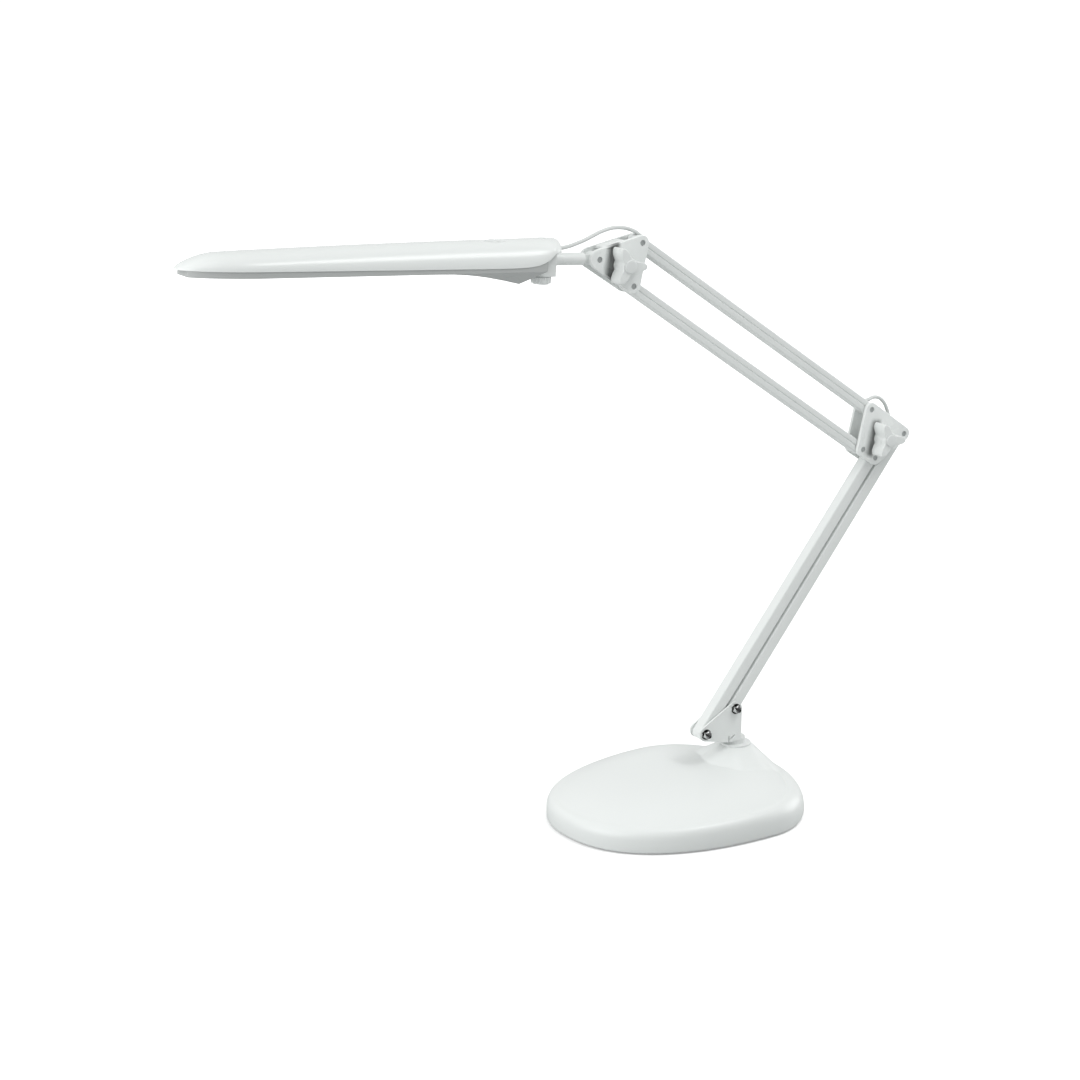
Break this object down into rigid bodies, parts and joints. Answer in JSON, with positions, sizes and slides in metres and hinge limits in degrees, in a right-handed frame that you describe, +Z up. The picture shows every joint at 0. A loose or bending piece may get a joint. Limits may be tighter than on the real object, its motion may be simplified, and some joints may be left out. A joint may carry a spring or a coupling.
{
  "type": "folding desk lamp",
  "caption": "Folding desk lamp with a weighted egg-shaped base, swivel bracket, two parallel-bar arms with wing clamps and a slim tilting and swivelling light head.",
  "frame": {"origin": "on the swivel axis at the resting plane under the rubber feet", "axes": "+Z up along the swivel axis, the arms stand in the XZ plane, the head points towards -X, the elbow towards +X"},
  "size_m": [0.7548, 0.2211, 0.572],
  "materials": {
    "cover": "satin light grey-white paint",
    "iron": "rough cast",
    "bottom_steel": "plain rolled sheet",
    "foot_rubber": "matt",
    "zinc_steel": "bright plated",
    "bearing_plastic": "matt grey",
    "bar_paint": "satin light grey-white paint",
    "casing_plastic": "semi-gloss moulded",
    "knob_plastic": "semi-gloss moulded",
    "cap_plastic": "satin",
    "shell_plastic": "semi-gloss moulded",
    "frame_plastic": "satin moulded",
    "lead_plastic": "satin lead sheath",
    "diffuser": "frosted translucent",
    "board": "white solder mask",
    "chips": "phosphor",
    "spreader": "bare sheet",
    "driver_green": "solder mask",
    "driver_dark": "moulded components",
    "switch_dark": "matt"
  },
  "bodies": {
    "base": {"base_cover": "cover", "base_weight": "iron", "base_plate": "bottom_steel", "base_feet": "foot_rubber", "base_screws": "zinc_steel", "swivel_bush": "bearing_plastic", "lead_gland": "bearing_plastic", "lead_base": "lead_plastic"},
    "bracket": {"swivel_spindle": "zinc_steel", "spindle_washer": "zinc_steel", "spindle_nut": "zinc_steel", "swivel_bracket": "bar_paint", "lower_bolts": "zinc_steel", "lower_washers": "zinc_steel", "lower_nuts": "zinc_steel", "lead_foot": "lead_plastic"},
    "lower_front_arm": {"lower_bar_front": "bar_paint", "lower_front_sleeves": "bearing_plastic"},
    "lower_rear_arm": {"lower_bar_rear": "bar_paint", "lower_rear_sleeves": "bearing_plastic", "lead_lower": "lead_plastic"},
    "elbow": {"elbow_front_plate": "casing_plastic", "elbow_rear_plate": "casing_plastic", "elbow_pins": "zinc_steel", "elbow_bolt": "zinc_steel", "lead_elbow_in": "lead_plastic", "lead_elbow_out": "lead_plastic"},
    "elbow_wing": {"elbow_knob": "knob_plastic", "elbow_knob_cap": "cap_plastic"},
    "upper_top_arm": {"upper_bar_top": "bar_paint", "upper_top_sleeves": "bearing_plastic", "lead_upper": "lead_plastic"},
    "upper_bottom_arm": {"upper_bar_bottom": "bar_paint", "upper_bottom_sleeves": "bearing_plastic"},
    "casing": {"casing_front_plate": "casing_plastic", "casing_rear_plate": "casing_plastic", "casing_pins": "zinc_steel", "casing_bolt": "zinc_steel", "tilt_pin": "zinc_steel", "lead_crown": "lead_plastic"},
    "casing_wing": {"casing_knob": "knob_plastic", "casing_knob_cap": "cap_plastic"},
    "neck": {"neck_stem": "casing_plastic", "lead_neck": "lead_plastic"},
    "neck_clamp": {"clamp_knob": "cap_plastic"},
    "head": {"head_spindle": "zinc_steel", "head_shell": "shell_plastic", "head_frame": "frame_plastic", "head_diffuser": "diffuser", "led_board": "board", "led_chips": "chips", "heat_spreader": "spreader", "driver_board": "driver_green", "driver_parts": "driver_dark", "head_screws": "zinc_steel", "spindle_cap": "cap_plastic", "lead_rear": "lead_plastic", "switch_body": "switch_dark"},
    "button": {"switch_button": "cap_plastic"}
  },
  "joints": [
    {"name": "base_swivel", "type": "hinge", "parent": "base", "child": "bracket", "pos_m": [0, 0, 0.06], "axis": [0, 0, 1], "range_deg": [-170, 170]},
    {"name": "lower_arm", "type": "hinge", "parent": "bracket", "child": "lower_rear_arm", "pos_m": [-0.00689, 0, 0.0934], "axis": [0, -1, 0], "range_deg": [-3, 60], "deforming": ["lead_foot"]},
    {"name": "lower_front_link", "type": "hinge", "parent": "bracket", "child": "lower_front_arm", "pos_m": [-0.041, 0, 0.0725], "axis": [0, -1, 0], "range_deg": [-3, 60]},
    {"name": "elbow_level", "type": "hinge", "parent": "lower_rear_arm", "child": "elbow", "pos_m": [0.18569, 0, 0.34896], "axis": [0, -1, 0], "range_deg": [-60, 3], "deforming": ["lead_elbow_in"]},
    {"name": "elbow_wing_turn", "type": "hinge", "parent": "elbow", "child": "elbow_wing", "pos_m": [0.15748, 0, 0.34746], "axis": [0, 1, 0], "range_deg": [-90, 90]},
    {"name": "upper_arm", "type": "hinge", "parent": "elbow", "child": "upper_top_arm", "pos_m": [0.14508, 0, 0.37704], "axis": [0, 1, 0], "range_deg": [-55, 40], "deforming": ["lead_elbow_out"]},
    {"name": "upper_bottom_link", "type": "hinge", "parent": "elbow", "child": "upper_bottom_arm", "pos_m": [0.13608, 0, 0.33806], "axis": [0, 1, 0], "range_deg": [-55, 40]},
    {"name": "casing_level", "type": "hinge", "parent": "upper_top_arm", "child": "casing", "pos_m": [-0.12021, 0, 0.55598], "axis": [0, 1, 0], "range_deg": [-40, 55], "deforming": ["lead_crown"]},
    {"name": "casing_wing_turn", "type": "hinge", "parent": "casing", "child": "casing_wing", "pos_m": [-0.14271, 0, 0.53751], "axis": [0, 1, 0], "range_deg": [-90, 90]},
    {"name": "head_tilt", "type": "hinge", "parent": "casing", "child": "neck", "pos_m": [-0.16521, 0, 0.54351], "axis": [0, 1, 0], "range_deg": [-60, 25], "deforming": ["lead_neck"]},
    {"name": "neck_clamp_turn", "type": "hinge", "parent": "neck", "child": "neck_clamp", "pos_m": [-0.22011, 0, 0.52775], "axis": [0.0523, 0, 0.9986], "range_deg": [-90, 90]},
    {"name": "head_swivel", "type": "hinge", "parent": "neck", "child": "head", "pos_m": [-0.21914, 0, 0.54623], "axis": [0.0523, 0, 0.9986], "range_deg": [-60, 60], "deforming": ["lead_rear"]},
    {"name": "button_press", "type": "slide", "parent": "head", "child": "button", "axis": [-0.0523, 0, -0.9986], "range_m": [0, 0.001], "stiffness_N_per_m": 900, "springref_m": -0.0006}
  ],
  "couplings": [
    {"joint": "lower_front_link", "follows": "lower_arm", "ratio": 1},
    {"joint": "elbow_level", "follows": "lower_arm", "ratio": -1},
    {"joint": "upper_bottom_link", "follows": "upper_arm", "ratio": 1},
    {"joint": "casing_level", "follows": "upper_arm", "ratio": -1}
  ]
}
